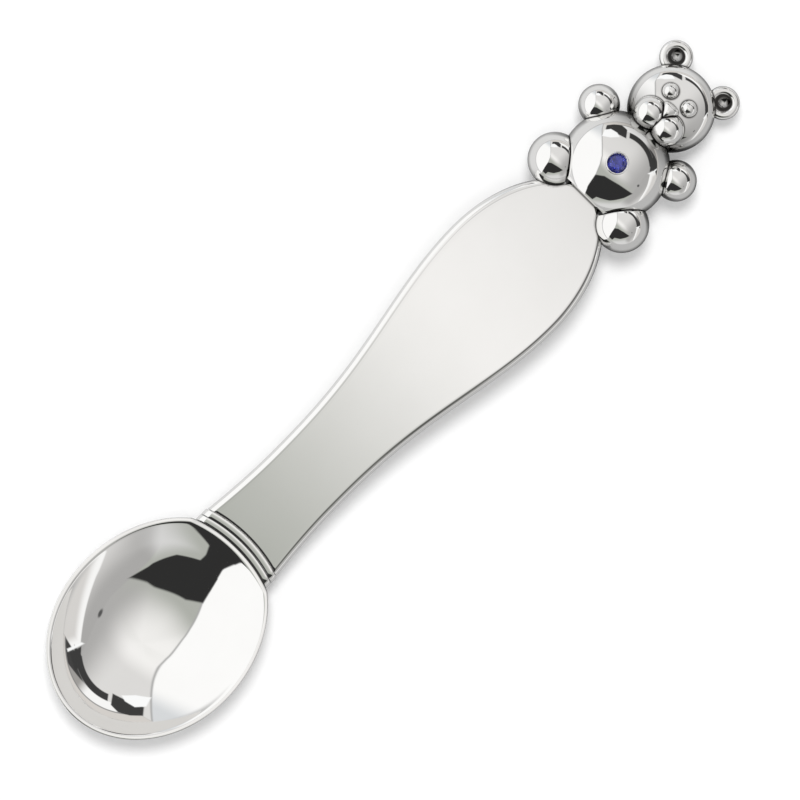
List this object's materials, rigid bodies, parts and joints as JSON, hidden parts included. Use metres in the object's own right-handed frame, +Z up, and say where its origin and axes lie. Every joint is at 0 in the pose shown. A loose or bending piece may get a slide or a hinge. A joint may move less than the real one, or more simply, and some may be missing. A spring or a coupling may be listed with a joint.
{
  "type": "baby spoon",
  "caption": "Small silver feeding spoon: oval bowl, beaded collar, arched paddle handle and a seated teddy bear finial that holds a round blue stone.",
  "frame": {"origin": "on the table, under the middle of the spoon's length and width", "axes": "+X from the bowl towards the bear's ears, +Y to the bear's left, +Z up from the table, the side that the bowl opens to"},
  "size_m": [0.115, 0.0252, 0.0113],
  "materials": {
    "silver": "mirror polish",
    "stone": "faceted and polished"
  },
  "bodies": {
    "root": {"bowl": "silver", "inner_collar_bead": "silver", "outer_collar_bead": "silver", "handle": "silver", "torso": "silver", "head": "silver", "left_foot": "silver", "right_foot": "silver", "left_paw": "silver", "right_paw": "silver", "left_ear": "silver", "right_ear": "silver", "left_cheek": "silver", "right_cheek": "silver", "nose": "silver", "left_eye": "silver", "right_eye": "silver", "bezel": "silver", "stone": "stone"}
  },
  "joints": []
}
